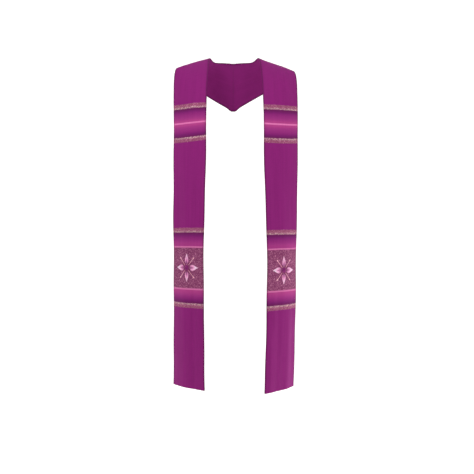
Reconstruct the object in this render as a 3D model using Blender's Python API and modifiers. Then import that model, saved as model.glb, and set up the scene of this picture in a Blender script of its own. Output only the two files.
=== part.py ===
"""A clerical stole in the hollow form that it has when it is worn.

Metres, +Z up. The stole faces -Y, so the wearer's right is at -X. The origin is the nape: the top of
the centre-back seam, where the cloth rests on the back of the neck.

Each half is one strip of cloth. It runs from its hem up the front, over the shoulder and round to the
centre-back seam, where the two halves meet in a V. A flower is embroidered on the lower front of each.
"""

import collections
import math

import bmesh
import bpy
import numpy as np

MM = 0.001

CLOTH_WIDTH = 148 * MM
CLOTH_WALL = 2.2 * MM  # face cloth, interlining and back, pressed together
EDGE_ROUND = 0.7 * MM  # the turned edges aren't square
SEAM_GAP = 0.3 * MM  # between the two halves at the centre back
SEAM_LIP = 5 * MM  # the pressed stretch beside that seam, which lies straight across the back
FACES_ACROSS = 10

# One row for each section of a half, from the hem to the back seam, in mm.
# x is the distance from the middle of the body. crown is how far the middle of the section
# stands out from the straight line between its two edges. faces is how many rows of faces
# lead up to the next section.
Section = collections.namedtuple(
    "Section", "name inner_x inner_y inner_z outer_x outer_y outer_z crown faces"
)

RIGHT_SECTIONS = [
    Section("hem", 104.7, -241.8, -1277.2, 229.3, -164.2, -1271.2, 8, 9),
    Section("thigh", 108.2, -244.8, -942, 227.8, -160.2, -942, 10, 7),
    Section("waist", 107.7, -242.8, -684, 229.3, -160.2, -684, 8, 4),
    Section("ribs", 103.7, -238.8, -536, 229.3, -161.2, -536, 7, 5),
    Section("chest", 100.2, -229.9, -387, 229, -159, -385, 9, 6),
    Section("upper chest", 100.2, -211.8, -235, 229, -150.2, -240, 14, 5),
    Section("collarbone", 98.5, -187.4, -140, 229.5, -150.6, -155, 18, 6),
    Section("front slope", 95.6, -146, -65.7, 227.4, -152, -94.3, 15, 7),
    Section("ridge", 92.8, -87.6, -4.6, 216.8, -138.6, -55.8, 2, 6),
    Section("behind ridge", 82.8, -36.6, 0.6, 194.3, -77.4, -75.8, 10, 7),
    Section("shoulder blade", 50, -7, 1, 113.3, 22.6, -126.6, 8, 8),
    Section("back seam", 0, 0, 0, 0, 38.8, -189, 6, 0),
]

LEFT_SECTIONS = [
    Section("hem", 114.3, -247.9, -1287.2, 232.2, -160.1, -1279.4, 9, 9),
    Section("thigh", 123, -246.9, -978, 239, -160.1, -978, 11, 7),
    Section("waist", 122.8, -243.8, -700, 242.6, -162.2, -700, 11, 4),
    Section("ribs", 117.7, -236.7, -536, 245.3, -165.3, -536, 9, 5),
    Section("chest", 113.4, -226.7, -387, 246.6, -170.3, -387, 11, 6),
    Section("upper chest", 113.2, -209.6, -235, 246.8, -167.4, -240, 14, 5),
    Section("collarbone", 110.5, -186.3, -140, 245.5, -162.7, -155, 18, 6),
    Section("front slope", 106.6, -146, -65.6, 243.4, -157, -102.4, 15, 7),
    Section("ridge", 99.7, -85.6, -3.8, 232.4, -128.4, -65, 1, 6),
    Section("behind ridge", 85.7, -36.7, 0.7, 206.3, -66.3, -84.9, 10, 7),
    Section("shoulder blade", 50, -7, 1, 113.3, 24.6, -126.6, 8, 8),
    Section("back seam", 0, 0, 0, 0, 38.8, -189, 6, 0),
]

# The largest soft folds of a half. across is where a fold lies, from 0 at the inner edge to 1 at
# the outer one. The rest is in mm: it stands out by depth, or in where that is below zero, and
# fades at the lengths low and high above the hem.
Fold = collections.namedtuple("Fold", "across width depth low high")

FOLD_FADE = 130  # mm

RIGHT_FOLDS = [
    Fold(0.30, 15, -2.2, -200, 560),
    Fold(0.62, 18, 1.8, -200, 430),
    Fold(0.78, 14, -1.6, 420, 900),
    Fold(0.35, 17, 2.0, 960, 1300),
]

LEFT_FOLDS = [
    Fold(0.36, 16, -2.0, -200, 500),
    Fold(0.70, 15, 1.9, -200, 380),
    Fold(0.25, 14, -1.8, 560, 980),
    Fold(0.60, 18, 2.2, 1020, 1320),
]

# The flower. A rib is half the width of a petal or stamen at a radius from the centre, in mm.
Rib = collections.namedtuple("Rib", "radius half_width")

FLOWER_HEIGHT = 450.2 * MM  # its centre, above the hem along the cloth
FLOWER_WALL = 1.0 * MM
FLOWER_LIFT = 0.35 * MM  # from the cloth to the underside of the stitches
STITCH_ROUND = 0.25 * MM
HUB_RADIUS = 8 * MM
STAMEN_ANGLE = math.radians(49.5)  # up from straight across

WIDE_PETAL = [
    Rib(13, 3.0),
    Rib(17, 8.0),
    Rib(24, 11.4),
    Rib(31, 10.4),
    Rib(38, 7.0),
    Rib(45, 2.9),
    Rib(50, 0.9),
]

TALL_PETAL = [
    Rib(14, 2.8),
    Rib(19, 6.6),
    Rib(26, 8.6),
    Rib(33, 8.2),
    Rib(40, 5.6),
    Rib(46, 2.7),
    Rib(52, 0.9),
]

STAMEN = [Rib(13, 1.2), Rib(25, 1.1), Rib(37, 1.2), Rib(44, 1.9), Rib(50, 1.4)]

# The lobes in turn round the flower, from straight across and upwards, with the angle of each.
LOBES = [
    (0, WIDE_PETAL),
    (STAMEN_ANGLE, STAMEN),
    (math.pi / 2, TALL_PETAL),
    (math.pi - STAMEN_ANGLE, STAMEN),
]
LOBES += [(angle + math.pi, ribs) for angle, ribs in LOBES]


def clear_scene():
    for found in list(bpy.data.objects):
        bpy.data.objects.remove(found)


def textile(name, colour, roughness):
    material = bpy.data.materials.new(name)
    material.use_nodes = True
    shader = material.node_tree.nodes["Principled BSDF"]
    shader.inputs["Base Color"].default_value = (*colour, 1)
    shader.inputs["Roughness"].default_value = roughness
    shader.inputs["Metallic"].default_value = 0
    return material


def smooth_through(knots, values, at):
    """The natural cubic spline through a row of values at each knot, read at the places in at."""
    steps = np.diff(knots)
    slopes = np.diff(values, axis=0) / steps[:, None]
    bends = np.zeros_like(values)
    system = np.diag(2 * (steps[:-1] + steps[1:])) + np.diag(steps[1:-1], 1) + np.diag(steps[1:-1], -1)
    bends[1:-1] = np.linalg.solve(system, 6 * np.diff(slopes, axis=0))
    span = np.clip(np.searchsorted(knots, at, side="right") - 1, 0, len(steps) - 1)
    step = steps[span, None]
    after = (at - knots[span])[:, None]
    before = step - after
    curve = (bends[span] * before**3 + bends[span + 1] * after**3) / (6 * step)
    start_line = (values[span] / step - bends[span] * step / 6) * before
    end_line = (values[span + 1] / step - bends[span + 1] * step / 6) * after
    return curve + start_line + end_line


def unit(vectors):
    return vectors / np.linalg.norm(vectors, axis=-1, keepdims=True)


def smooth_step(x):
    """0 below 0, 1 above 1 and a soft step between them."""
    x = np.clip(x, 0, 1)
    return x * x * (3 - 2 * x)


def lengths_along(points):
    """The length from the first point to each point of a line of points."""
    return np.append(0, np.cumsum(np.linalg.norm(np.diff(points, axis=0), axis=1)))


def half_surface(sections, folds, side):
    """Points and outward normals of a half's outer face, with a row for each line across the cloth.
    side is -1 at the wearer's right and 1 at the left."""
    mirror = np.array([side, 1, 1])
    inner = np.array([row[1:4] for row in sections]) * MM * mirror
    outer = np.array([row[4:7] for row in sections]) * MM * mirror
    crown = np.array([[row.crown] for row in sections]) * MM

    knots = lengths_along((inner + outer) / 2)
    spans = [
        np.linspace(low, high, row.faces, endpoint=False)
        for low, high, row in zip(knots[:-1], knots[1:], sections[:-1])
    ]
    heights = np.append(np.concatenate(spans), knots[-1])
    rows = smooth_through(knots, np.hstack([inner, outer, crown]), heights)
    inner, outer, crown = rows[:, None, :3], rows[:, None, 3:6], rows[:, None, 6:]

    across = np.linspace(0, 1, FACES_ACROSS + 1)[None, :, None]
    points = inner + (outer - inner) * across
    normals = outward_normals(points, side)
    heights = heights[:, None, None]
    bulge = crown * 4 * across * (1 - across)
    for fold in folds:
        reach = np.exp(-(((across - fold.across) * CLOTH_WIDTH / (fold.width * MM)) ** 2))
        rise = smooth_step((heights / MM - fold.low) / FOLD_FADE)
        fall = smooth_step((fold.high - heights / MM) / FOLD_FADE)
        bulge = bulge + fold.depth * MM * reach * rise * fall
    points = points + normals * bulge

    points[-1, :, 0] = side * SEAM_GAP / 2
    points[-2] = points[-1] + np.array([side * SEAM_LIP, 0, 0])
    return points, outward_normals(points, side)


def outward_normals(points, side):
    return unit(np.cross(np.gradient(points, axis=1), np.gradient(points, axis=0))) * side


def add_piece(name, shape, side, wall, round_edge, collection, material):
    """An object whose outer face is the open bmesh, with a wall of that thickness behind it."""
    if side < 0:
        bmesh.ops.reverse_faces(shape, faces=shape.faces)
    mesh = bpy.data.meshes.new(name)
    shape.to_mesh(mesh)
    shape.free()
    mesh.materials.append(material)
    mesh.shade_smooth()
    piece = bpy.data.objects.new(name, mesh)
    collection.objects.link(piece)

    solidify = piece.modifiers.new("wall", "SOLIDIFY")
    solidify.thickness = wall
    solidify.offset = -1
    bevel = piece.modifiers.new("turned edge", "BEVEL")
    bevel.width = round_edge
    bevel.segments = 1
    bevel.limit_method = "ANGLE"
    bevel.angle_limit = math.radians(60)
    return piece


def make_half(name, points, side, collection, material):
    """A flat grid, bent to the half's surface."""
    rows, columns = points.shape[0] - 1, points.shape[1] - 1
    shape = bmesh.new()
    bmesh.ops.create_grid(shape, x_segments=columns, y_segments=rows, size=1)
    for vertex in shape.verts:
        column = round((vertex.co.x + 1) / 2 * columns)
        row = round((vertex.co.y + 1) / 2 * rows)
        vertex.co = points[row, column]
    return add_piece(name, shape, side, CLOTH_WALL, EDGE_ROUND, collection, material)


def grow_lobe(shape, edges, angle, ribs):
    """Extrudes two neighbouring edges of the hub outwards, once for each rib."""
    out = np.array([math.cos(angle), math.sin(angle), 0])
    aside = np.array([-out[1], out[0], 0])
    for rib in ribs:
        grown = bmesh.ops.extrude_edge_only(shape, edges=edges)["geom"]
        ends = [item for item in grown if isinstance(item, bmesh.types.BMVert)]
        ends.sort(key=lambda vertex: vertex.co.dot(aside))
        grown_edges = [item for item in grown if isinstance(item, bmesh.types.BMEdge)]
        edges = [edge for edge in grown_edges if set(edge.verts) <= set(ends)]
        for vertex, share in zip(ends, (-1, 0, 1)):
            vertex.co = (out * rib.radius + aside * rib.half_width * share) * MM


def flat_flower():
    """The flower in the plane: x across the cloth and y up along it. The hub has one vertex in the
    direction of each lobe and one between that lobe and the next, and each lobe grows from the two
    edges that meet at its own vertex."""
    shape = bmesh.new()
    points = 2 * len(LOBES)
    bmesh.ops.create_circle(shape, cap_ends=True, cap_tris=True, radius=HUB_RADIUS, segments=points)
    rim = [vertex for vertex in shape.verts if vertex.is_boundary]
    rim.sort(key=lambda vertex: round(math.atan2(vertex.co.y, vertex.co.x) % (2 * math.pi), 6))
    angles = [angle for angle, _ in LOBES] + [2 * math.pi]
    for place, vertex in enumerate(rim):
        lobe, between = divmod(place, 2)
        angle = (angles[lobe] + angles[lobe + between]) / 2
        vertex.co = (HUB_RADIUS * math.cos(angle), HUB_RADIUS * math.sin(angle), 0)
    bases = [[edge for edge in vertex.link_edges if edge.is_boundary] for vertex in rim[::2]]
    for base, (angle, ribs) in zip(bases, LOBES):
        grow_lobe(shape, base, angle, ribs)
    bmesh.ops.recalc_face_normals(shape, faces=shape.faces)
    return shape


def make_flower(name, points, normals, side, collection, material):
    """The flat flower laid on a half: each of its points goes to its place on the cloth, moved out."""
    middle = FACES_ACROSS // 2
    heights = lengths_along(points[:, middle])
    level = int(np.searchsorted(heights, FLOWER_HEIGHT))
    widths = lengths_along(points[level])
    shape = flat_flower()
    for vertex in shape.verts:
        row = np.interp(FLOWER_HEIGHT + vertex.co.y, heights, np.arange(len(heights)))
        column = np.interp(widths[middle] + vertex.co.x, widths, np.arange(len(widths)))
        spot = between_points(points, row, column)
        normal = unit(between_points(normals, row, column))
        vertex.co = spot + normal * (FLOWER_LIFT + FLOWER_WALL)
    return add_piece(name, shape, side, FLOWER_WALL, STITCH_ROUND, collection, material)


def between_points(grid, row, column):
    """The grid's value at a fractional row and column."""
    i, j = int(row), int(column)
    a, b = row - i, column - j
    low = grid[i, j] * (1 - b) + grid[i, j + 1] * b
    high = grid[i + 1, j] * (1 - b) + grid[i + 1, j + 1] * b
    return low * (1 - a) + high * a


def main():
    clear_scene()
    collection = bpy.data.collections.new("clerical_stole")
    bpy.context.scene.collection.children.link(collection)
    cloth = textile("purple wool", (0.25, 0.018, 0.17), 0.75)
    thread = textile("pink satin stitch", (0.72, 0.42, 0.58), 0.45)
    for word, side, sections, folds in (
        ("right", -1, RIGHT_SECTIONS, RIGHT_FOLDS),
        ("left", 1, LEFT_SECTIONS, LEFT_FOLDS),
    ):
        points, normals = half_surface(sections, folds, side)
        make_half(f"stole_half_{word}", points, side, collection, cloth)
        make_flower(f"flower_{word}", points, normals, side, collection, thread)


main()
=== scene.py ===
import math

import bpy
import numpy as np
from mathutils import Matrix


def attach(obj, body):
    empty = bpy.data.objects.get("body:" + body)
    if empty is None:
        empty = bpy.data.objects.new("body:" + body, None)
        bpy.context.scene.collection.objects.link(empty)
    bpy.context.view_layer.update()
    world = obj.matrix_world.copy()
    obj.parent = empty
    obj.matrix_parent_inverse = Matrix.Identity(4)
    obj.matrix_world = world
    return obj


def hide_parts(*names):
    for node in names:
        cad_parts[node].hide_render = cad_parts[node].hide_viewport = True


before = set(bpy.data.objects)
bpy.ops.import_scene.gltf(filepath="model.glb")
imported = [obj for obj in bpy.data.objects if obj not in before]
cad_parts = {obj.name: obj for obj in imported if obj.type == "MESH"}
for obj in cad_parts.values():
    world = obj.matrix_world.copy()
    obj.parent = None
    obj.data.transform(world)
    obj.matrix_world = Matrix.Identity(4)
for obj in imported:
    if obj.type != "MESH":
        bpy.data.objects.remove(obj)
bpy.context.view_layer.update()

# Lengths are in mm until a mesh is made. Height is the length along a half from its hem to the
# back seam, and across runs from 0 at the inner edge to 1 at the outer one.
mm = 0.001

strip = {
    "width": 148,
    "wall": 2.2,  # face cloth, interlining and back, pressed together
    "edgeRadius": 1.1,  # the turned edges are rolled, not square
    "cornerRadius": 3,
    "sideTurning": 13,  # cloth folded in along both sides
    "hemTurning": 30,
    "faceStep": 0.25,  # how far the folded layer lifts the face
    "faceSoftness": 5,  # width over which it does so
    "backStep": 0.35,
    "backSoftness": 1.2,
    "seamGap": 0.3,
    "seamLip": 5,  # the pressed stretch beside the back seam, straight across the back
    "seamBlend": 17,
    "seamLength": 190,
    "mitreShare": 0.96,  # the mitred end takes 4% of a half's area away
    "foldFade": 130,
    "waveReach": 20,  # how far in from an edge its wave is felt
    "waveCalm": 160,  # the waves die out over this length before the back seam
    "longerShare": 0.6,  # the longer wave's size beside the shorter one's
    "rowStep": 4,
    "columns": 45,
    "edgePlaces": (0.12, 0.35, 0.7, 1.15, 1.8, 2.8),  # extra rows and columns on rolled edges
    "hemPlaces": (29.2, 29.9, 30.6),  # and along the inner edges of the turnings
    "sidePlaces": (12.3, 13.0, 13.7),
    "leastStep": 0.1,
    "samples": 800,  # places where the length along the middle is measured
    "probe": (1, 0.01),  # steps along and across that give the slopes
}

# sections: inner edge x y z, outer edge x y z, crown
# folds: across, width, depth, and the heights where it fades
# creases: from across, height to across, height, then width and depth
# edgeWaves: amplitude at the inner edge and outer edge, two wavelengths, and a phase
# weft: how far the woven lines stray from square, as shift, slope and bow about a centre line
rightHalf = {
    "side": -1,
    "outerLength": 1.564,  # metres along the outer edge, from the hem to the mitre
    "sections": {
        "hem": (104.7, -241.8, -1277.2, 229.3, -164.2, -1271.2, 8),
        "thigh": (108.2, -244.8, -942, 227.8, -160.2, -942, 10),
        "waist": (107.7, -242.8, -684, 229.3, -160.2, -684, 8),
        "ribs": (103.7, -238.8, -536, 229.3, -161.2, -536, 7),
        "chest": (100.2, -229.9, -387, 229, -159, -385, 9),
        "upperChest": (100.2, -211.8, -235, 229, -150.2, -240, 14),
        "collarbone": (98.5, -187.4, -140, 229.5, -150.6, -155, 18),
        "frontSlope": (95.6, -146, -65.7, 227.4, -152, -94.3, 15),
        "ridge": (92.8, -87.6, -4.6, 216.8, -138.6, -55.8, 2),
        "behindRidge": (82.8, -36.6, 0.6, 194.3, -77.4, -75.8, 10),
        "shoulderBlade": (50, -7, 1, 113.3, 22.6, -126.6, 8),
        "backSeam": (0, 0, 0, 0, 38.8, -189, 6),
    },
    "folds": {
        "innerTrough": (0.30, 15, -2.2, -200, 560),
        "outerSwell": (0.62, 18, 1.8, -200, 430),
        "waistTrough": (0.78, 14, -1.6, 420, 900),
        "chestSwell": (0.35, 17, 2.0, 960, 1300),
    },
    "creases": {
        "hemInner": (0.13, -60, 0.20, 260, 8, -0.8),
        "hemMiddle": (0.47, -60, 0.43, 215, 10, 0.8),
        "hemOuter": (0.86, -80, 0.81, 380, 10, 0.7),
        "thighOuter": (0.90, 330, 0.86, 620, 8, -0.6),
        "waistMiddle": (0.52, 560, 0.60, 850, 12, 1.0),
        "waistInner": (0.20, 600, 0.27, 790, 8, -0.7),
        "ribInner": (0.12, 800, 0.16, 960, 9, 0.6),
        "chestOuter": (0.74, 930, 0.62, 1170, 11, -1.0),
        "chestInner": (0.13, 1010, 0.20, 1180, 8, 0.7),
        "collarOuter": (0.86, 1050, 0.72, 1235, 9, 0.8),
        "shoulderDrag": (0.28, 1190, 0.80, 1285, 10, -0.9),
        "shoulderRidge": (0.45, 1240, 0.95, 1300, 9, 0.8),
        "bladeUpper": (0.22, 1330, 0.62, 1410, 11, 2.2),
        "bladeLower": (0.50, 1325, 0.95, 1395, 12, -2.4),
        "backOuter": (0.62, 1400, 0.92, 1465, 10, 1.8),
        "backInner": (0.30, 1405, 0.45, 1480, 9, -1.4),
    },
    "edgeWaves": (0.9, 1.1, 233, 371, 0.4),
    "weft": {"centre": 0.45, "lower": (0, 0, 0), "chest": (-1, 0, 14), "turn": 0.085},
}

leftHalf = {
    "side": 1,
    "outerLength": 1.570,
    "sections": {
        "hem": (114.3, -247.9, -1287.2, 232.2, -160.1, -1279.4, 9),
        "thigh": (123, -246.9, -978, 239, -160.1, -978, 11),
        "waist": (122.8, -243.8, -700, 242.6, -162.2, -700, 11),
        "ribs": (117.7, -236.7, -536, 245.3, -165.3, -536, 9),
        "chest": (113.4, -226.7, -387, 246.6, -170.3, -387, 11),
        "upperChest": (113.2, -209.6, -235, 246.8, -167.4, -240, 14),
        "collarbone": (110.5, -186.3, -140, 245.5, -162.7, -155, 18),
        "frontSlope": (106.6, -146, -65.6, 243.4, -157, -102.4, 15),
        "ridge": (99.7, -85.6, -3.8, 232.4, -128.4, -65, 1),
        "behindRidge": (85.7, -36.7, 0.7, 206.3, -66.3, -84.9, 10),
        "shoulderBlade": (50, -7, 1, 113.3, 24.6, -126.6, 8),
        "backSeam": (0, 0, 0, 0, 38.8, -189, 6),
    },
    "folds": {
        "innerTrough": (0.36, 16, -2.0, -200, 500),
        "outerSwell": (0.70, 15, 1.9, -200, 380),
        "waistTrough": (0.25, 14, -1.8, 560, 980),
        "chestSwell": (0.60, 18, 2.2, 1020, 1320),
    },
    "creases": {
        "hemInner": (0.16, -70, 0.12, 300, 9, 0.8),
        "hemMiddle": (0.54, -60, 0.50, 190, 9, -0.8),
        "hemOuter": (0.88, -60, 0.84, 340, 9, -0.7),
        "thighInner": (0.12, 310, 0.18, 560, 8, -0.6),
        "waistMiddle": (0.55, 500, 0.48, 800, 12, 1.0),
        "waistOuter": (0.80, 560, 0.74, 760, 9, -0.8),
        "ribOuter": (0.86, 740, 0.82, 930, 9, 0.7),
        "chestInner": (0.22, 950, 0.30, 1190, 11, -1.0),
        "chestMiddle": (0.42, 1080, 0.38, 1230, 8, 0.6),
        "collarOuter": (0.88, 1030, 0.80, 1240, 9, -0.8),
        "shoulderDrag": (0.25, 1200, 0.72, 1290, 10, -0.9),
        "shoulderRidge": (0.50, 1262, 0.93, 1318, 9, 0.8),
        "bladeUpper": (0.20, 1345, 0.55, 1425, 11, 2.0),
        "bladeLower": (0.52, 1340, 0.94, 1420, 12, -2.3),
        "backOuter": (0.66, 1420, 0.94, 1482, 10, 1.7),
        "backInner": (0.26, 1425, 0.42, 1496, 9, -1.3),
    },
    "edgeWaves": (1.0, 1.0, 251, 397, 2.1),
    "weft": {"centre": 0.40, "lower": (1.5, 2.5, 0), "chest": (0.8, 3, 16), "turn": 0},
}


def smoothStep(x):
    # 0 below 0, 1 above 1, and 3x^2 - 2x^3 between them
    x = np.clip(x, 0, 1)
    return x * x * (3 - 2 * x)


def unit(vectors):
    return vectors / np.linalg.norm(vectors, axis=-1, keepdims=True)


def lengthsAlong(points):
    # running sum of the distances between neighbouring points
    return np.append(0, np.cumsum(np.linalg.norm(np.diff(points, axis=0), axis=1)))


def splineThrough(knots, values, at):
    # the cubic curve through the values at the knots whose slope and bend run on through each
    # knot, and whose bend is 0 at both ends
    steps = np.diff(knots)
    slopes = np.diff(values, axis=0) / steps[:, None]
    bends = np.zeros_like(values)
    system = np.diag(2 * (steps[:-1] + steps[1:]))
    system = system + np.diag(steps[1:-1], 1) + np.diag(steps[1:-1], -1)
    bends[1:-1] = np.linalg.solve(system, 6 * np.diff(slopes, axis=0))
    span = np.clip(np.searchsorted(knots, at, side="right") - 1, 0, len(steps) - 1)
    step = steps[span, None]
    after = (at - knots[span])[:, None]
    before = step - after
    curve = (bends[span] * before**3 + bends[span + 1] * after**3) / (6 * step)
    startLine = (values[span] / step - bends[span] * step / 6) * before
    endLine = (values[span + 1] / step - bends[span + 1] * step / 6) * after
    return curve + startLine + endLine


def prepareHalf(half):
    # knots are the lengths along the line through the middles of the sections
    half["rows"] = np.array(list(half["sections"].values()), float)
    half["rows"][:, [0, 3]] *= half["side"]
    half["knots"] = lengthsAlong((half["rows"][:, :3] + half["rows"][:, 3:6]) / 2)
    half["length"] = half["knots"][-1]
    half["heights"] = np.linspace(0, half["length"], strip["samples"])
    half["measured"] = lengthsAlong(faceAt(half, half["heights"], 0.5))


def ruledAt(half, height, across):
    # the straight line between the two edges at each height; near the back seam it turns into the
    # seam's own line, moved sideways, so that the two halves meet square
    height, across = np.broadcast_arrays(height, across)
    rows = splineThrough(half["knots"], half["rows"], height.ravel()).reshape(*height.shape, 7)
    across = across[..., None]
    points = rows[..., :3] * (1 - across) + rows[..., 3:6] * across
    rest = (half["length"] - height)[..., None]
    seam = half["rows"][-1]
    beside = seam[:3] * (1 - across) + seam[3:6] * across
    beside = beside + rest * np.array([half["side"], 0, 0])
    beside[..., 0] += half["side"] * strip["seamGap"] / 2
    share = 1 - smoothStep((rest - strip["seamLip"]) / strip["seamBlend"])
    return points + (beside - points) * share, rows[..., 6]


def outwardNormal(half, surface, height, across):
    # the cross product of the surface's slopes across and along
    up, aside = strip["probe"]
    alongSlope = surface(half, height + up, across) - surface(half, height - up, across)
    acrossSlope = surface(half, height, across + aside) - surface(half, height, across - aside)
    return unit(np.cross(acrossSlope, alongSlope)) * half["side"]


def faceAt(half, height, across):
    # the ruled surface moved along its normal by the crown, which is a parabola across the strip,
    # and by every fold, crease and edge wave
    height, across = np.broadcast_arrays(np.asarray(height, float), np.asarray(across, float))
    points, crown = ruledAt(half, height, across)
    normal = outwardNormal(half, lambda *place: ruledAt(*place)[0], height, across)
    bulge = crown * 4 * across * (1 - across)
    width, fade = strip["width"], strip["foldFade"]
    place = across * width
    for foldAcross, foldWidth, depth, low, high in half["folds"].values():
        reach = np.exp(-(((place - foldAcross * width) / foldWidth) ** 2))
        rise = smoothStep((height - low) / fade) * smoothStep((high - height) / fade)
        bulge = bulge + depth * reach * rise
    for fromAcross, fromHeight, toAcross, toHeight, creaseWidth, depth in half["creases"].values():
        bulge = bulge + depth * creaseReach(
            place - fromAcross * width, height - fromHeight,
            (toAcross - fromAcross) * width, toHeight - fromHeight, creaseWidth)
    innerSize, outerSize, shorter, longer, phase = half["edgeWaves"]
    wave = np.sin(2 * np.pi * height / shorter + phase)
    wave = wave + strip["longerShare"] * np.sin(2 * np.pi * height / longer)
    reach = innerSize * np.exp(-((place / strip["waveReach"]) ** 2))
    reach = reach - outerSize * np.exp(-(((width - place) / strip["waveReach"]) ** 2))
    calm = smoothStep((half["length"] - height) / strip["waveCalm"])
    return points + normal * (bulge + wave * reach * calm)[..., None]


def creaseReach(x, y, alongX, alongY, width):
    # a bell curve of the distance from the crease's line, which grows from 0 over its first third
    # and sinks back over its last
    length = math.hypot(alongX, alongY)
    share = (x * alongX + y * alongY) / length**2
    away = (x * alongY - y * alongX) / length
    return np.exp(-((away / width) ** 2)) * smoothStep(share * 3) * smoothStep((1 - share) * 3)


# The weft changes over from the lower stripes' stray to the chest stripes' own between heights,
# and the chest's slope turns with height on both sides of a middle one.
weftChange = {"from": 700, "over": 120, "turnFrom": 920, "turnMiddle": 994, "turnTo": 1070}


def weftStray(half, height, across):
    # shift + slope * away + bow * away^2, where away is the distance from the centre line
    weft, change = half["weft"], weftChange
    away = across - weft["centre"]
    lower, chest = (
        sum(size * away**power for power, size in enumerate(weft[group]))
        for group in ("lower", "chest"))
    turn = np.clip(height, change["turnFrom"], change["turnTo"]) - change["turnMiddle"]
    chest = chest + weft["turn"] * turn * away
    return lower + (chest - lower) * smoothStep((height - change["from"]) / change["over"])


def finePlaces(length, count, extra):
    # even places from 0 to length, with extra ones near both ends
    near = np.array(strip["edgePlaces"] + extra)
    places = np.sort(np.concatenate([np.linspace(0, length, count), near, length - near]))
    return places[np.append(True, np.diff(places) > strip["leastStep"])]


# A part is a dictionary of points, faces, slots and tone, and a woven part has uv too.
def gridFaces(index):
    corners = [index[:-1, :-1], index[:-1, 1:], index[1:, 1:], index[1:, :-1]]
    return np.stack(corners, -1).reshape(-1, 4)


def shellParts(outside, inside, uv, outward, slots):
    # two grids of points that share their border, so that together they are a closed shell
    rows, columns = outside.shape[:2]
    count = rows * columns
    front = np.arange(count).reshape(rows, columns)
    back = front.copy()
    within = back[1:-1, 1:-1]
    back[1:-1, 1:-1] = count + np.arange(within.size).reshape(within.shape)
    points = np.concatenate([outside.reshape(-1, 3), inside[1:-1, 1:-1].reshape(-1, 3)])
    frontFaces, backFaces = gridFaces(front), gridFaces(back)
    frontPlaces = uv.reshape(-1, 2)[frontFaces]
    otherWay = [0, 3, 2, 1]
    backFaces, backPlaces = backFaces[:, otherWay], frontPlaces[:, otherWay]
    if outward < 0:
        frontFaces, frontPlaces = frontFaces[:, otherWay], frontPlaces[:, otherWay]
        backFaces, backPlaces = backFaces[:, otherWay], backPlaces[:, otherWay]
    return {
        "points": points,
        "faces": [frontFaces, backFaces],
        "slots": [np.full(len(frontFaces), slots[0]), np.full(len(backFaces), slots[1])],
        "uv": [frontPlaces, backPlaces],
        "tone": np.zeros(len(points)),
    }


def strandParts(paths, normals, halfWidth, halfHeight, tone, slot, sides=5):
    # each strand is a tube round its path: ring point = path + sideways * halfWidth * cos(angle)
    # + normal * halfHeight * sin(angle), and both ends close in one point
    count, steps = paths.shape[:2]
    sideways = unit(np.cross(np.gradient(paths, axis=1), normals))
    angle = (2 * np.pi * np.arange(sides) / sides)[:, None]
    ring = paths[:, 1:-1, None] + sideways[:, 1:-1, None] * halfWidth * np.cos(angle)
    ring = ring + normals[:, 1:-1, None] * halfHeight * np.sin(angle)
    points = np.concatenate([ring.reshape(count, -1, 3), paths[:, [0]], paths[:, [-1]]], axis=1)
    each = points.shape[1]
    base = np.arange(count)[:, None, None] * each
    level = np.arange(steps - 2)[:, None] * sides
    place = np.arange(sides)
    here, there = base + level + place, base + level + (place + 1) % sides
    quads = np.stack([here[:, :-1], there[:, :-1], there[:, 1:], here[:, 1:]], -1).reshape(-1, 4)
    first, last = base + each - 2 + 0 * place, base + each - 1 + 0 * place
    starts = np.stack([first[:, 0], there[:, 0], here[:, 0]], -1).reshape(-1, 3)
    ends = np.stack([last[:, 0], here[:, -1], there[:, -1]], -1).reshape(-1, 3)
    tone = np.broadcast_to(tone, (count, steps))
    ringTone = np.repeat(tone[:, 1:-1], sides, axis=1)
    faces = [quads, starts, ends]
    return {
        "points": points.reshape(-1, 3),
        "faces": faces,
        "slots": [np.full(len(found), slot) for found in faces],
        "tone": np.concatenate([ringTone, tone[:, [0]], tone[:, [-1]]], axis=1).ravel(),
    }


def newObject(name, data):
    made = bpy.data.objects.new(name, data)
    bpy.context.scene.collection.objects.link(made)
    return made


def makePiece(name, parts, materials):
    # all parts joined in one mesh, with its place in the mesh and the object at the origin
    points = np.concatenate([part["points"] for part in parts]) * mm
    shift, faces, slots, places = 0, [], [], []
    for part in parts:
        for found in part["faces"]:
            faces += (found + shift).tolist()
        slots += part["slots"]
        places += [found.reshape(-1, 2) for found in part.get("uv", [])]
        shift += len(part["points"])
    mesh = bpy.data.meshes.new(name)
    mesh.from_pydata(points.tolist(), [], faces)
    for material in materials:
        mesh.materials.append(material)
    slots = np.concatenate(slots).astype(np.int32)
    mesh.polygons.foreach_set("material_index", slots)
    if places:
        layer = mesh.uv_layers.new(name="strip")
        layer.uv.foreach_set("vector", np.concatenate(places).astype(np.float32).ravel())
    tones = np.concatenate([part["tone"] for part in parts]).astype(np.float32)
    mesh.attributes.new("tone", "FLOAT", "POINT").data.foreach_set("value", tones)
    mesh.shade_smooth()
    mesh.update()
    piece = newObject(name, mesh)
    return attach(piece, "root")


def linearColour(code):
    # sRGB hex to linear: value / 12.92 below 0.04045, and ((value + 0.055) / 1.055)^2.4 above
    values = [int(code[at:at + 2], 16) / 255 for at in (1, 3, 5)]
    return tuple(v / 12.92 if v < 0.04045 else ((v + 0.055) / 1.055) ** 2.4 for v in values)


def setInputs(tree, node, inputs):
    # an input is a value, an output, or a node whose first output is taken
    for place, value in inputs.items():
        if isinstance(value, bpy.types.Node):
            value = value.outputs[0]
        if isinstance(value, bpy.types.NodeSocket):
            tree.links.new(value, node.inputs[place])
        else:
            node.inputs[place].default_value = value


def addNode(tree, kind, inputs=None, **settings):
    node = tree.nodes.new("ShaderNode" + kind)
    for name, value in settings.items():
        setattr(node, name, value)
    setInputs(tree, node, inputs or {})
    return node


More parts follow.
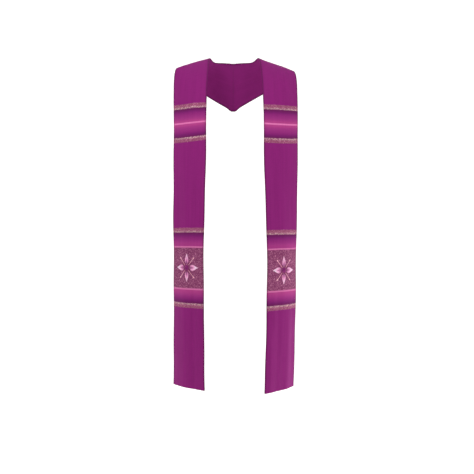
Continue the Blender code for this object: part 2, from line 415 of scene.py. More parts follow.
def fillRamp(ramp, stops):
    # each stop is its place from 0 to 1, a colour code, and an alpha where that is not 1
    elements = ramp.color_ramp.elements
    elements.remove(elements[1])
    for at, (place, code, *alpha) in enumerate(stops):
        element = elements[0] if at == 0 else elements.new(place)
        element.position = place
        element.color = (*linearColour(code), *(alpha or [1]))
    return ramp


def newMaterial(name):
    material = bpy.data.materials.new(name)
    material.use_nodes = True
    tree = material.node_tree
    return material, tree, tree.nodes["Principled BSDF"]


# The dyed yarns.
yarns = {
    "purple": "#891d71",
    "violet": "#6a1858",
    "plum": "#781968",
    "orchid": "#862070",
    "cerise": "#902676",
    "magenta": "#992e7c",
    "rose": "#a43580",
    "blush": "#b13e84",
    "pink": "#de72b0",
    "softPink": "#d16da5",
    "heather": "#813a62",
    "roseGold": "#965c78",
    "dustyRose": "#914b69",
}


def goldLine(outer, inner):
    # a rose gold line with a speckled one beside it, from its outer edge to its inner edge
    way = 1 if inner > outer else -1
    return (
        (outer, "purple", 0), (outer + 3 * way, "dustyRose", 0.08),
        (outer + 11 * way, "dustyRose", 0.16), (outer + 15 * way, "roseGold", 0.31),
        (inner, "roseGold", 0.27))


def shaded(names, *heights):
    # stops of plain yarn without lurex
    return tuple((height, yarn, 0) for height, yarn in zip(heights, names.split()))


# The woven stripes from the hem upwards: height, yarn, and the share of lurex.
stripes = {
    "lower": (
        *goldLine(298.9, 317.7),
        *shaded("violet violet plum orchid cerise magenta rose blush softPink softPink",
                318.5, 323, 328.5, 334.5, 340.5, 346.5, 353, 367.5, 368.6, 373.4),
        (374.4, "heather", 0.13), (524.4, "heather", 0.13),
        *shaded("softPink softPink rose rose magenta cerise orchid plum violet violet",
                525.4, 529.8, 531.0, 541, 549, 556, 564, 570.5, 577.5, 581.3),
        *goldLine(600.7, 582.1)[::-1],
    ),
    "chest": (
        *goldLine(922, 941.4),
        *shaded("violet violet plum orchid cerise magenta rose blush blush pink",
                942.2, 945.5, 952, 957.5, 963.5, 972, 981, 987, 991.6, 992.6),
        *shaded("pink blush blush rose magenta cerise orchid plum violet violet",
                997.8, 998.8, 1002, 1009, 1017, 1026, 1033, 1038.5, 1044.5, 1049.5),
        *goldLine(1069.7, 1050.3)[::-1],
    ),
    "between": 760.0,  # heights above this belong to the chest stripes
}

weave = {
    "pitch": 1.0,  # real yarns lie 0.5 mm apart; drawn coarser so that the weave shows close up
    "relief": 0.05,  # how high the yarns stand beside the nap
    "nap": 0.09,  # tufts per mm
    "bump": 0.0004,  # metres
    "drift": (0.02, 0.012),  # bends of the weft lines per mm across and along, 50 mm or longer
    "driftSize": 1.4,
    "streaks": (0.14, 0.005),  # warp streaks per mm: about 7 mm wide and 200 mm long
    "yarnShades": (0.03, 0.55),  # yarn by yarn shade in the weft
    "shades": (0.95, 1.05),
    "pick": 0.9,  # height of one weft row of lurex
    "dash": 2.2,  # length of one float of lurex
    "clumps": (0.10, 0.22),  # clumps of floats per mm
    "clumpShares": (0.88, 1.12),
    "lurexLift": 0.4,
    "rosyLurex": "#f6a2cc",  # outside the gold lines
    "goldLurex": ((0, "#e9c4b6"), (0.3, "#deaeac"), (0.62, "#dea2b6"), (0.85, "#eed4d0")),
    "buried": (0.15, 0.27),  # shares of lurex at which its floats are half buried, and on top
    "buriedShine": 0.62,
    "metallic": 0.6,
    "roughness": (0.80, 0.50),  # of wool and of lurex
    "plainColour": "#821d6c",
    "plainRoughness": 0.82,
    "finish": {"Specular IOR Level": 0.12, "Sheen Weight": 0.08, "Sheen Roughness": 0.45},
    "sheenTint": "#f0c8e2",
    "edgeLine": 9,  # painted shade darkens each turned edge over this width
    "edgeShade": 0.52,
}


def rampOf(tree, stops, height):
    # a colour ramp over the stops' own range, with the share of lurex in its alpha
    low, high = stops[0][0], stops[-1][0]
    place = addNode(tree, "MapRange", {0: height, 1: low, 2: high})
    return fillRamp(addNode(tree, "ValToRGB", {0: place}), [
        ((at - low) / (high - low), yarns[yarn], share) for at, yarn, share in stops])


def patches(tree, place, perMm, detail):
    # noise with so many patches per mm across and along
    stretched = addNode(tree, "VectorMath", {0: place, 1: (*perMm, 0)}, operation="MULTIPLY")
    return addNode(tree, "TexNoise", {"Vector": stretched, "Scale": 1.0, "Detail": detail})


def lurexFloats(tree, place, u, v, share):
    # Each float is one cell of a grid whose rows are shifted at random. A cell is lurex where its
    # draw is below the share, which is a little higher in some clumps than in others.
    row = addNode(tree, "Math", {0: v, 1: weave["pick"]}, operation="DIVIDE")
    row = addNode(tree, "Math", {0: row}, operation="FLOOR")
    shift = addNode(tree, "TexWhiteNoise", {"W": row}, noise_dimensions="1D")
    cell = addNode(tree, "Math", {0: u, 1: 1 / weave["dash"], 2: shift}, operation="MULTIPLY_ADD")
    cell = addNode(tree, "Math", {0: cell}, operation="FLOOR")
    cellPlace = addNode(tree, "CombineXYZ", {0: cell, 1: row})
    draw = addNode(tree, "TexWhiteNoise", {"Vector": cellPlace}, noise_dimensions="2D")
    clump, (low, high) = patches(tree, place, weave["clumps"], 2.0), weave["clumpShares"]
    clump = addNode(tree, "MapRange", {0: clump, 1: 0.3, 2: 0.7, 3: low, 4: high})
    limit = addNode(tree, "Math", {0: share, 1: clump}, operation="MULTIPLY")
    return draw, addNode(tree, "Math", {0: draw, 1: limit}, operation="LESS_THAN")


def stripedYarns(tree, shader, place, u, v, height, shade, relief):
    # the dyed stripes with lurex floats over them; returns the relief with the floats on it
    lower = rampOf(tree, stripes["lower"], height)
    chest = rampOf(tree, stripes["chest"], height)
    isChest = addNode(tree, "Math", {0: height, 1: stripes["between"]}, operation="GREATER_THAN")
    ground = addNode(tree, "Mix", {0: isChest, 6: lower, 7: chest}, data_type="RGBA")
    share = addNode(tree, "Mix", {0: isChest, 2: lower.outputs[1], 3: chest.outputs[1]})
    wool = addNode(tree, "VectorMath", {0: ground.outputs[2], 3: shade}, operation="SCALE")
    draw, lurex = lurexFloats(tree, place, u, v, share)
    dye = addNode(tree, "SeparateXYZ", {0: draw.outputs[1]})
    gold = addNode(tree, "ValToRGB", {0: dye.outputs[1]})
    gold.color_ramp.interpolation = "CONSTANT"
    fillRamp(gold, weave["goldLurex"])

    # sparse floats are thin and half buried, so they shine less
    low, high = weave["buried"]
    strength = {0: share, 1: low, 2: high, 3: weave["buriedShine"]}
    strength = addNode(tree, "MapRange", strength)
    lurex = addNode(tree, "Math", {0: lurex, 1: strength}, operation="MULTIPLY")
    rosy = (*linearColour(weave["rosyLurex"]), 1)
    isGold = addNode(tree, "MapRange", {0: share, 1: low, 2: high})
    foil = addNode(tree, "Mix", {0: isGold, 6: rosy, 7: gold}, data_type="RGBA").outputs[2]
    base = addNode(tree, "Mix", {0: lurex, 6: wool, 7: foil}, data_type="RGBA").outputs[2]
    metal = addNode(tree, "Math", {0: lurex, 1: weave["metallic"]}, operation="MULTIPLY")
    ofWool, ofLurex = weave["roughness"]
    rough = addNode(tree, "MapRange", {0: lurex, 3: ofWool, 4: ofLurex})
    setInputs(tree, shader, {"Base Color": base, "Metallic": metal, "Roughness": rough})
    lift = addNode(tree, "Math", {0: lurex, 1: draw}, operation="MULTIPLY")
    return addNode(
        tree, "Math", {0: lift, 1: weave["lurexLift"], 2: relief}, operation="MULTIPLY_ADD")


def wovenCloth(name, striped):
    # Worsted wool with lurex floats in its weft: matt yarn with a soft nap that lights up at
    # grazing angles, and flat metallic threads that glint one by one.
    material, tree, shader = newMaterial(name)
    stripPlace = addNode(tree, "UVMap", uv_map="strip")
    place = addNode(tree, "VectorMath", {0: stripPlace, 3: 1 / mm}, operation="SCALE")
    split = addNode(tree, "SeparateXYZ", {0: place})
    u, v = split.outputs[0], split.outputs[1]

    # the weft lines drift up and down by up to half of the drift
    drift, size = patches(tree, place, weave["drift"], 1.0), weave["driftSize"]
    height = addNode(tree, "Math", {0: drift, 1: size, 2: v}, operation="MULTIPLY_ADD")
    height = addNode(tree, "Math", {0: height, 1: size / 2}, operation="SUBTRACT")

    # the shade changes in the warp and in the weft, and painted shade darkens both turned edges
    shades, (low, high) = [], weave["shades"]
    for perMm, detail in ((weave["streaks"], 2.0), (weave["yarnShades"], 3.0)):
        noise = patches(tree, place, perMm, detail)
        shades.append(addNode(tree, "MapRange", {0: noise, 1: 0.25, 2: 0.75, 3: low, 4: high}))
    shade = addNode(tree, "Math", {0: shades[0], 1: shades[1]}, operation="MULTIPLY")
    # painted shade, darkest at both turned edges, stands in for their own shading and the shadow
    # beside them
    edge = strip["width"] / 2
    fromMiddle = addNode(tree, "Math", {0: u, 1: edge}, operation="SUBTRACT")
    fromMiddle = addNode(tree, "Math", {0: fromMiddle}, operation="ABSOLUTE")
    paintedEdgeShade = {0: fromMiddle, 1: edge - weave["edgeLine"], 2: edge, 3: 1.0, 4: weave["edgeShade"]}
    paintedEdgeShade = addNode(tree, "MapRange", paintedEdgeShade, interpolation_type="SMOOTHSTEP")
    shade = addNode(tree, "Math", {0: shade, 1: paintedEdgeShade}, operation="MULTIPLY")

    # plain weave: the product of two sines, one along each set of yarns
    waves = []
    for along in (u, v):
        turns = addNode(tree, "Math", {0: along, 1: math.pi / weave["pitch"]}, operation="MULTIPLY")
        waves.append(addNode(tree, "Math", {0: turns}, operation="SINE"))
    relief = addNode(tree, "Math", {0: waves[0], 1: waves[1]}, operation="MULTIPLY")
    nap = addNode(tree, "TexNoise", {
        "Vector": place, "Scale": weave["nap"], "Detail": 4.0, "Roughness": 0.6})
    relief = addNode(
        tree, "Math", {0: relief, 1: weave["relief"], 2: nap}, operation="MULTIPLY_ADD")

    if striped:
        relief = stripedYarns(tree, shader, place, u, v, height, shade, relief)
    else:
        plain = linearColour(weave["plainColour"])
        wool = addNode(tree, "VectorMath", {0: plain, 3: shade}, operation="SCALE")
        setInputs(tree, shader, {"Base Color": wool, "Roughness": weave["plainRoughness"]})
    bump = addNode(tree, "Bump", {"Height": relief, "Distance": weave["bump"], "Strength": 1.0})
    tint = (*linearColour(weave["sheenTint"]), 1)
    setInputs(tree, shader, {"Normal": bump, "Sheen Tint": tint, **weave["finish"]})
    return material


# Each thread's shades from tone 0 to tone 1, and its finish. What a finish leaves out is 0.
threads = {
    "rayonSatinStitch": (
        ((0, "#6a0a54"), (0.3, "#b0408c"), (0.6, "#e486bf"), (0.85, "#ffb8e2"), (1, "#ffe0f6")),
        {"Roughness": 0.36, "Specular IOR Level": 0.7, "Sheen Weight": 0.12}),
    "violetRayon": (
        ((0, "#6c1258"), (1, "#aa368e")),
        {"Roughness": 0.55, "Specular IOR Level": 0.12}),
    "roseGoldThread": (
        ((0, "#e87c98"), (0.5, "#fba6be"), (1, "#ffccdc")),
        {"Roughness": 0.4, "Metallic": 0.1, "Specular IOR Level": 0.3, "Sheen Weight": 0.12}),
    "purpleSewingThread": (
        ((0, "#6e1a5a"), (1, "#8a2c74")),
        {"Roughness": 0.7, "Specular IOR Level": 0.3}),
}

fibre = {"perMetre": 1600.0, "bump": 0.00008}  # a thread's filaments, in metres


def threadMaterial(name):
    # Filament thread lies smooth, so it shines along its length. The tone of each point picks
    # its shade from the dyer's range.
    material, tree, shader = newMaterial(name)
    shades, finish = threads[name]
    tone = addNode(tree, "Attribute", attribute_name="tone")
    ramp = addNode(tree, "ValToRGB", {0: tone.outputs["Fac"]})
    fillRamp(ramp, shades)
    place = addNode(tree, "TexCoord").outputs["Object"]
    noise = addNode(tree, "TexNoise", {"Vector": place, "Scale": fibre["perMetre"], "Detail": 1.0})
    bump = addNode(tree, "Bump", {"Height": noise, "Distance": fibre["bump"]})
    setInputs(tree, shader, {"Base Color": ramp, "Normal": bump, **finish})
    return material


def makeCloth(name, half, node, materials):
    # the face at each row and column, moved in by half the wall, and then both ways by half the
    # wall times a quarter circle of the distance from the nearest edge
    width, wall, corner = strip["width"], strip["wall"], strip["cornerRadius"]
    rows = int(half["length"] / strip["rowStep"])
    height = finePlaces(half["length"], rows, strip["hemPlaces"])[:, None]
    place = finePlaces(width, strip["columns"], strip["sidePlaces"])[None, :]
    below = np.maximum(corner - height, 0)
    inset = corner - np.sqrt(corner**2 - below**2)
    across = 0.5 + (place / width - 0.5) * (1 - 2 * inset / width)
    face = faceAt(half, height, across)
    normal = outwardNormal(half, faceAt, height, across)

    fromSide = np.minimum(place, width - place)
    fromEnd = np.minimum(height, half["length"] - height)
    nearest = np.clip(np.minimum(fromSide, fromEnd) / strip["edgeRadius"], 0, 1)
    roll = np.sqrt(1 - (1 - nearest) ** 2)[..., None]
    middle, shells = face - normal * wall / 2, []
    for layer, outward in (("face", 1), ("back", -1)):
        softness = strip[layer + "Softness"]
        sides = 1 - smoothStep((fromSide - strip["sideTurning"]) / softness + 0.5)
        hem = 1 - smoothStep((height - strip["hemTurning"]) / softness + 0.5)
        single = 1 - np.maximum(sides, hem)[..., None]
        thick = wall / 2 - strip[layer + "Step"] * single
        shells.append(middle + outward * normal * roll * thick)
    measured = np.interp(height, half["heights"], half["measured"])
    uv = np.stack([across * width, measured - weftStray(half, height, across)], -1) * mm
    piece = makePiece(name, [shellParts(*shells, uv, half["side"], (0, 1))], materials)
    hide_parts(node)
    return piece


# The embroidery, in mm from the flower's centre. Ribs are radius and half width.
flower = {
    "height": 450.2,
    "threadWidth": 0.40,  # half of it; real rayon is 0.3 mm wide, drawn coarser so that it shows
    "threadHeight": 0.26,
    "spacing": 0.62,
    "points": 7,  # along each strand
    "bed": 0.12,  # the lowest that the middle of a strand lies
    "padRise": 0.75,
    "stamenAngle": 49.5,
    "petal": {
        "samples": 400,
        "slant": (1.15, 1.2),  # how much nearer the centre a strand starts: times its reach, plus
        "root": (1.5, 0.05),  # the nearest start, and how far apart the next ones are
        "middle": 0.15,  # strands start this far from the middle line
        "bow": 0.05,
        "jitter": (0.35, 0.175),
        "groove": (0.45, 1.8),  # the pad's height in the middle, and half the groove's width
        "ramp": 1.25,  # how many times sooner than the tip its shade is reached
        "wedgeShade": 0.9,
        "grooveShade": (0.12, 0.8),
        "shadeNoise": 0.07,
    },
    "wide": {
        "ribs": ((13, 3.0), (17, 8.0), (24, 11.4), (31, 10.4), (38, 7.0), (45, 2.9), (50, 0.9)),
        "tones": (0.60, 1.00),  # at the base and at the tip
        "vein": (5.0, 0.60),  # the dark wedge's half width at the base, and its share of the length
    },
    "tall": {
        "ribs": ((14, 2.8), (19, 6.6), (26, 8.6), (33, 8.2), (40, 5.6), (46, 2.7), (52, 0.9)),
        "tones": (0.48, 0.92),
        "vein": (4.2, 0.52),
    },
    "stamen": {
        "from": 12.5,
        "to": 46,
        "stitch": 4.2,
        "step": 1.3,
        "jitter": 0.12,
        "wander": 0.62,
        "halfWidth": 0.62,
        "rise": 0.42,
        "tones": (0.45, 0.35, 37),  # at the start, what is added, and over which length
        "shadeNoise": 0.08,
        "tip": (43.0, 50.5, 2.4),  # from, to, and half width
        "tipSlant": 0.35,
        "tipBed": 0.15,
        "tipRise": 0.5,
        "tipTone": 0.75,
    },
    "star": {
        "rays": 64,
        "radius": 9.7,
        "points": 2.4,
        "jitter": (0.25, 0.6),  # sideways as a share of the spacing, and in length
        "starts": (1.2, 1.6),  # the first ring, and how much further out the next two are
        "twist": 0.05,
        "rise": 0.6,
        "tones": (0.35, 0.25),
        "shadeNoise": 0.14,
    },
    "pad": {
        "rows": 24,
        "columns": 11,
        "inside": (0.5, 0.35),  # how far inside the outline it stays, at the ends and at the sides
        "bed": 0.10,
        "rise": 0.72,
        "sink": 0.25,
        "tones": (0.75, 0.1, 0.7),  # share of the base tone on top, what the tip adds, share below
    },
}


def onCloth(half, x, y, lift):
    # flat flower places laid on the face, and moved out along its normal
    height = np.interp(flower["height"] + y, half["measured"], half["heights"])
    across = 0.5 + x / strip["width"]
    normal = outwardNormal(half, faceAt, height, across)
    return faceAt(half, height, across) + normal * lift[..., None], normal


def padThickness(reach):
    # a quarter of the full rise where the petal is narrow, and all of it where it is wide
    return 0.25 + 0.75 * smoothStep((reach - 0.3) / 6)


def petalStrands(petal, draws):
    # Fishbone stitch: each strand starts on the middle line and slants out to the outline. Its
    # rise is half an ellipse across the petal, with a groove at the middle line.
    stitch, ribs = flower["petal"], np.array(petal["ribs"], float)
    base, tip = ribs[0, 0], ribs[-1, 0]
    radius = np.linspace(base, tip, stitch["samples"])
    halfWidth = splineThrough(ribs[:, 0], ribs[:, 1:], radius)[:, 0]
    outline = lengthsAlong(np.stack([radius, halfWidth], -1))
    count = int(outline[-1] / flower["spacing"])
    at = np.linspace(0, outline[-1], count)
    endRadius, endWidth = (np.interp(at, outline, line)[:, None] for line in (radius, halfWidth))
    (slant, further), (root, rootStep) = stitch["slant"], stitch["root"]
    nearest = base + root + rootStep * np.arange(count)[:, None]
    startRadius = np.maximum(endRadius - slant * endWidth - further, nearest)
    share = np.linspace(0, 1, flower["points"])
    parts = []
    for side in (-1, 1):
        jitter = draws.normal(0, 1, (2, count, 1))
        r = startRadius * (1 - share) + (endRadius + stitch["jitter"][0] * jitter[0]) * share
        w = stitch["middle"] + (endWidth + stitch["jitter"][1] * jitter[1]) * share
        r = r + stitch["bow"] * endWidth * np.sin(np.pi * share)
        reach = np.interp(r, radius, halfWidth)
        dome = np.sqrt(np.clip(1 - (w / np.maximum(reach, 0.5)) ** 2, 0, 1))
        low, grooveWidth = stitch["groove"]
        groove = low + (1 - low) * smoothStep(w / grooveWidth)
        lift = flower["bed"] + flower["padRise"] * dome * groove * padThickness(reach)
        along = (r - base) / (tip - base)
        wedgeWidth, wedgeReach = petal["vein"]
        wedge = np.clip(1 - along / wedgeReach, 0, 1)
        dark = np.exp(-((w / (wedgeWidth * wedge + 0.05)) ** 2)) * smoothStep(wedge * 3)
        baseTone, tipTone = petal["tones"]
        tone = baseTone + (tipTone - baseTone) * smoothStep(along * stitch["ramp"])
        shade, shadeWidth = stitch["grooveShade"]
        tone = tone * (1 - stitch["wedgeShade"] * dark) - shade * np.exp(-((w / shadeWidth) ** 2))
        tone = tone + draws.normal(0, stitch["shadeNoise"], (count, 1))
        parts.append((r, w * side, lift, tone))
    return parts


def stamenStrands(stamen, draws):
    # stem stitch: short slanted strands, each starting before the last one ends; the tip is satin
    # stitch laid straight across, as long as half an ellipse is wide there
    starts = np.arange(stamen["from"], stamen["to"], stamen["step"])[:, None]
    share, noise = np.linspace(0, 1, flower["points"]), stamen["shadeNoise"]
    arch = np.sin(np.pi * share)
    r = starts + stamen["stitch"] * share + draws.normal(0, stamen["jitter"], starts.shape)
    w = stamen["wander"] * (2 * share - 1)
    lift = flower["bed"] + stamen["rise"] * arch
    first, added, over = stamen["tones"]
    tone = first + added * (r - stamen["from"]) / over + draws.normal(0, noise, starts.shape)
    stem = (r, w, lift, tone)
    low, high, reach = stamen["tip"]
    places = np.arange(low, high, flower["spacing"])[:, None]
    middle, half = (low + high) / 2, (high - low) / 2
    size = reach * np.sqrt(np.clip(1 - ((places - middle) / (half + 0.4)) ** 2, 0, 1)) + 0.25
    r = places + stamen["tipSlant"] * (2 * share - 1)
    w = size * (2 * share - 1)
    lift = stamen["tipBed"] + stamen["tipRise"] * arch
    tone = stamen["tipTone"] + draws.normal(0, noise, places.shape)
    return [stem, (r, w, lift, tone)]


def starStrands(star, draws):
    # strands straight out from the centre, with long and short ones in turn round the star
    rays = np.arange(star["rays"])
    spread, uneven = star["jitter"]
    angle = 2 * np.pi * (rays + draws.uniform(-spread, spread, len(rays))) / len(rays)
    reach = star["radius"] + star["points"] * np.cos(8 * angle) + draws.normal(0, uneven, len(rays))
    start = star["starts"][0] + star["starts"][1] * (rays % 3)
    angle, reach, start = angle[:, None], reach[:, None], start[:, None]
    share = np.linspace(0, 1, flower["points"])
    r = start * (1 - share) + reach * share
    turn = angle + star["twist"] * np.sin(np.pi * share)
    lift = flower["bed"] + star["rise"] * np.sqrt(np.clip(1 - (r / (reach + 0.5)) ** 2, 0, 1))
    first, added = star["tones"]
    tone = first + draws.normal(0, star["shadeNoise"], angle.shape) + added * share
    return r * np.cos(turn), r * np.sin(turn), lift, tone


def turned(r, w, angle):
    return r * math.cos(angle) - w * math.sin(angle), r * math.sin(angle) + w * math.cos(angle)


def padPart(half, petal, angle):
    # the padding under a petal: a low dome that closes at the outline
    ribs, pad = np.array(petal["ribs"], float), flower["pad"]
    base, tip = ribs[0, 0], ribs[-1, 0]
    fromEnds, fromSides = pad["inside"]
    radius = np.linspace(base + fromEnds, tip - fromEnds, pad["rows"])[:, None]
    reach = splineThrough(ribs[:, 0], ribs[:, 1:], radius[:, 0])
    share = np.linspace(-1, 1, pad["columns"])[None, :]
    w = (reach - fromSides) * share
    ends = np.sin(np.pi * np.linspace(0, 1, pad["rows"]))[:, None] ** 0.5
    dome = np.sqrt(np.clip(1 - share**2, 0, 1)) * ends * padThickness(reach)
    x, y = turned(radius, w, angle)
    top, _ = onCloth(half, x, y, pad["bed"] + pad["rise"] * flower["padRise"] * dome)
    bottom, _ = onCloth(half, x, y, pad["bed"] - pad["sink"] * dome)
    part = shellParts(top, bottom, np.zeros((*x.shape, 2)), half["side"], (0, 0))
    above, added, under = pad["tones"]
    baseTone = petal["tones"][0]
    along = (radius - base) / (tip - base) + 0 * w
    part["tone"][:] = under * baseTone
    part["tone"][:along.size] = (above * baseTone + added * along).ravel()
    del part["uv"]
    return part


def makeFlower(name, half, node, materials, seed):
    draws = np.random.default_rng(seed)
    parts, flat = [], []
    stamen = math.radians(flower["stamenAngle"])
    for turns, kind in enumerate(("wide", "tall", "wide", "tall")):
        angle = turns * math.pi / 2
        parts.append(padPart(half, flower[kind], angle))
        for r, w, lift, tone in petalStrands(flower[kind], draws):
            flat.append((*turned(r, w, angle), lift, tone, 0, flower["threadWidth"]))
    for angle in (stamen, math.pi - stamen, math.pi + stamen, -stamen):
        for r, w, lift, tone in stamenStrands(flower["stamen"], draws):
            flat.append((*turned(r, w, angle), lift, tone, 2, flower["stamen"]["halfWidth"]))
    flat.append((*starStrands(flower["star"], draws), 1, flower["threadWidth"]))
    for x, y, lift, tone, slot, halfWidth in flat:
        paths, normals = onCloth(half, x, y, lift)
        tone = np.clip(tone, 0, 1)
        parts.append(strandParts(paths, normals, halfWidth, flower["threadHeight"], tone, slot))
    piece = makePiece(name, parts, materials)
    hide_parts(node)
    return piece


# Hand stitches that hold the folded edges to the back, and the two halves together.
handStitch = {
    "every": 9,
    "length": 3.4,
    "reach": 1.0,  # how far it goes each side of the folded edge
    "halfWidth": 0.30,
    "halfHeight": 0.22,
    "points": 6,
    "tone": 0.5,
    "sink": -0.45,  # both ends dip into the cloth, and the middle rises out of it
    "rise": 0.62,
    "jitter": (0.8, 0.15),  # along the edge and across it
    "sides": (36, 14),  # where the side rows start above the hem and stop before the back seam
    "hem": (18, 20),  # the same along the hem, from the inner edge to the outer one
    "seamEvery": 6,
    "seamEnds": (6, 182),  # where the row starts and ends along the seam
    "seamReach": 1.7,
    "seamJitter": 0.002,
    "seamSink": -0.3,
    "seamRise": 0.55,
    "seamSlant": 1.2,
}


def backAt(half, height, across, lift):
    # places on the underside, moved out of it by lift
    normal = outwardNormal(half, faceAt, height, across)
    below = np.expand_dims(strip["wall"] + lift, -1)
    return faceAt(half, height, across) - normal * below, -normal


def stitchParts(paths, normals):
    return strandParts(
        paths, normals, handStitch["halfWidth"], handStitch["halfHeight"], handStitch["tone"], 0)


def makeSlipStitches(name, half, material, seed):
    # one row of stitches along the inner edge of each side turning, and one along the hem's
    draws = np.random.default_rng(seed)
    stitch, width = handStitch, strip["width"]
    share = np.linspace(0, 1, stitch["points"])
    lift = stitch["sink"] + stitch["rise"] * np.sin(np.pi * share) ** 0.7
    alongJitter, acrossJitter = stitch["jitter"]
    low, high = stitch["sides"]
    heights = np.arange(low, half["length"] - high, stitch["every"])[:, None]
    parts = []
    for side in (0, 1):
        start = heights + draws.normal(0, alongJitter, heights.shape)
        edge = strip["sideTurning"] + draws.normal(0, acrossJitter, heights.shape)
        across = (edge + stitch["reach"] * (2 * share - 1)) / width
        across = across if side == 0 else 1 - across
        height = start + stitch["length"] * share
        parts.append(stitchParts(*backAt(half, height, across, lift)))
    low, high = stitch["hem"]
    places = np.arange(low, width - high, stitch["every"])[:, None]
    places = places + draws.normal(0, alongJitter, places.shape)
    across = (places + stitch["length"] * share) / width
    height = strip["hemTurning"] + stitch["reach"] * (1 - 2 * share)
    parts.append(stitchParts(*backAt(half, height, across, lift)))
    return makePiece(name, parts, [material])


def makeSeamStitches(name, material, seed):
    # small bars from one half to the other along the inside of the back seam
    draws, stitch = np.random.default_rng(seed), handStitch
    across = np.arange(*stitch["seamEnds"], stitch["seamEvery"])[:, None] / strip["seamLength"]
    across = across + draws.normal(0, stitch["seamJitter"], across.shape)
    (start, startNormal), (end, endNormal) = (
        backAt(half, half["length"] - stitch["seamReach"], across, stitch["seamSink"])
        for half in (rightHalf, leftHalf))
    end = end - np.array([0, 0, stitch["seamSlant"]])
    share = np.linspace(0, 1, stitch["points"])[:, None]
    normals = unit(startNormal * (1 - share) + endNormal * share)
    paths = start * (1 - share) + end * share
    paths = paths + normals * stitch["seamRise"] * np.sin(np.pi * share)
    return makePiece(name, [stitchParts(paths, normals)], [material])


seamTurning = {"reach": 4, "halfWall": 0.4, "ends": 0.012, "rows": 49, "columns": 9}


def makeSeamTurning(name, material):
    # the turned-in cloth behind the back seam: a flat strip across both halves at the middle of
    # the wall, along the seam's own line, and thinner towards its two long edges
    ends, halves = seamTurning["ends"], (rightHalf, leftHalf)
    across = np.linspace(ends, 1 - ends, seamTurning["rows"])[:, None]
    line = sum(faceAt(half, half["length"], across) for half in halves) / 2
    normal = unit(sum(outwardNormal(half, faceAt, half["length"] - 1, across) for half in halves))
    share = np.linspace(-1, 1, seamTurning["columns"])[None, :, None]
    aside = seamTurning["reach"] * share * np.array([1, 0, 0])
    middle = line - normal * strip["wall"] / 2 + aside
    thick = seamTurning["halfWall"] * (1 - share**4)
    uv = np.stack(np.broadcast_arrays(aside[..., 0] * mm, across * strip["seamLength"] * mm), -1)
    part = shellParts(middle + normal * thick, middle - normal * thick, uv, 1, (0, 0))
    return makePiece(name, [part], [material])


# The floor, seen from the side, in mm: flat from the front to the bend, then round it and up.
studio = {
    "halfLength": 14000,
    "front": -7000,
    "bend": 2600,
    "floor": -1640,
    "radius": 1100,
    "top": 5200,
    "steps": 13,
    "paint": "#f6f5f3",
    "roughness": 0.9,
    "glow": 0.60,
    "sky": 0.26,
}


def makeStudio():
    # a pale floor that curves up into a backdrop, with the object hanging clear of it
    bend, low, radius = studio["bend"], studio["floor"], studio["radius"]
    turn = np.linspace(0, math.pi / 2, studio["steps"])[1:]
    profile = [(studio["front"], low), (bend, low)]
    profile += [(bend + radius * math.sin(a), low + radius * (1 - math.cos(a))) for a in turn]
    profile.append((bend + radius, studio["top"]))
    ends = (-studio["halfLength"], studio["halfLength"])
    points = np.array([(x, y, z) for x in ends for y, z in profile]) * mm
    faces = gridFaces(np.arange(len(points)).reshape(2, -1))[:, ::-1]
    mesh = bpy.data.meshes.new("floor")
    mesh.from_pydata(points.tolist(), [], faces.tolist())
    mesh.shade_smooth()
    # matt white paint: no gloss, so that no highlight shows
    material, tree, shader = newMaterial("mattWhitePaint")
    setInputs(tree, shader, {
        "Base Color": (*linearColour(studio["paint"]), 1), "Roughness": studio["roughness"],
        "Emission Color": (1, 1, 1, 1), "Emission Strength": studio["glow"]})
    mesh.materials.append(material)
    floor = newObject("floor", mesh)


# place, what it points at, width and height, all in metres, then watts and the beam's spread
softboxes = {
    "topSoftbox": ((0, -0.9, 2.2), (0, -0.1, -0.1), (1.8, 1.2), 21.5, 180),
    "frontRightSoftbox": ((0.9, -1.5, 0.6), (0.1, -0.2, -0.3), (0.8, 0.8), 0.8, 80),
    "frontLeftSoftbox": ((-0.9, -1.5, 0.6), (-0.1, -0.2, -0.3), (0.8, 0.8), 2.6, 80),
    "sideSoftbox": ((2.1, -0.5, -0.1), (0.2, -0.2, -0.4), (0.8, 1.2), 8, 180),
    "lowRightSoftbox": ((1.05, 0.10, -1.40), (0.22, -0.2, -1.18), (0.4, 0.4), 4.9, 180),
    "lowLeftSoftbox": ((-1.05, 0.10, -1.40), (-0.22, -0.2, -1.18), (0.4, 0.4), 2.2, 180),
}


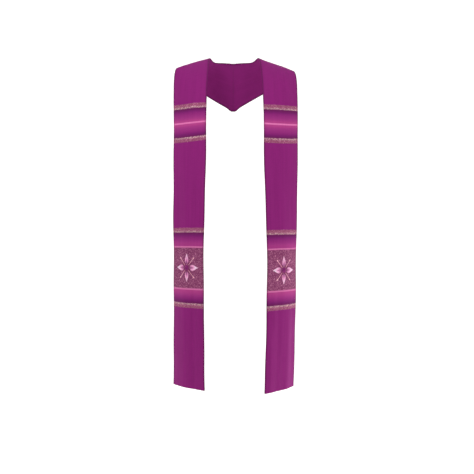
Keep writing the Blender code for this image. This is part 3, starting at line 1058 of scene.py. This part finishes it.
def makeLights():
    world = bpy.data.worlds.new("studio")
    world.use_nodes = True
    tree = world.node_tree
    setInputs(tree, tree.nodes["Background"], {0: (1, 1, 1, 1), 1: studio["sky"]})
    bpy.context.scene.world = world
    for name, (place, target, size, power, spread) in softboxes.items():
        light = bpy.data.lights.new(name, "AREA")
        light.shape = "RECTANGLE"
        light.size, light.size_y = size
        light.energy = power
        light.spread = math.radians(spread)
        holder = newObject(name, light)
        holder.location = place
        holder.visible_camera = False
        x, y, z = np.subtract(target, place)
        holder.rotation_euler = (math.atan2(math.hypot(x, y), -z), 0, math.atan2(-x, y))


# the camera's place in metres, and its lens and sensor in mm
view = {"place": (0, -2.405, -0.702), "lens": 44.58, "sensor": 36, "shift": (0.0080, -0.0042)}


def makeCamera():
    camera = bpy.data.cameras.new("camera")
    camera.sensor_width = view["sensor"]
    camera.lens = view["lens"]
    camera.shift_x, camera.shift_y = view["shift"]
    holder = newObject("camera", camera)
    holder.location = view["place"]
    holder.rotation_euler = (math.pi / 2, 0, 0)
    bpy.context.scene.camera = holder


makeCamera()
for half in (rightHalf, leftHalf):
    prepareHalf(half)
    print("half laid out:", round(half["measured"][-1]), "mm long")

stripedWool = wovenCloth("stripedWoolAndLurex", True)
plainWool = wovenCloth("plainPurpleWool", False)
petalThread, starThread, stamenThread, sewingThread = (threadMaterial(name) for name in threads)
print("materials made")

seamPieces = [
    makeSeamTurning("backSeamTurning", plainWool),
    makeSeamStitches("backSeamStitches", sewingThread, 5),
]
print("back seam stitched")
flowerThreads = [petalThread, starThread, stamenThread]
for word, half, seed in (("Right", rightHalf, 11), ("Left", leftHalf, 23)):
    ending = "_" + word.lower()
    cloth = makeCloth("cloth" + word, half, "stole_half" + ending, [stripedWool, plainWool])
    print("cloth", word, "made")
    embroidery = makeFlower("flower" + word, half, "flower" + ending, flowerThreads, seed)
    print("flower", word, "embroidered")
    stitches = makeSlipStitches("slipStitches" + word, half, sewingThread, seed + 1)

makeStudio()
makeLights()
bpy.context.scene.view_settings.view_transform = "Standard"
print("studio lit")
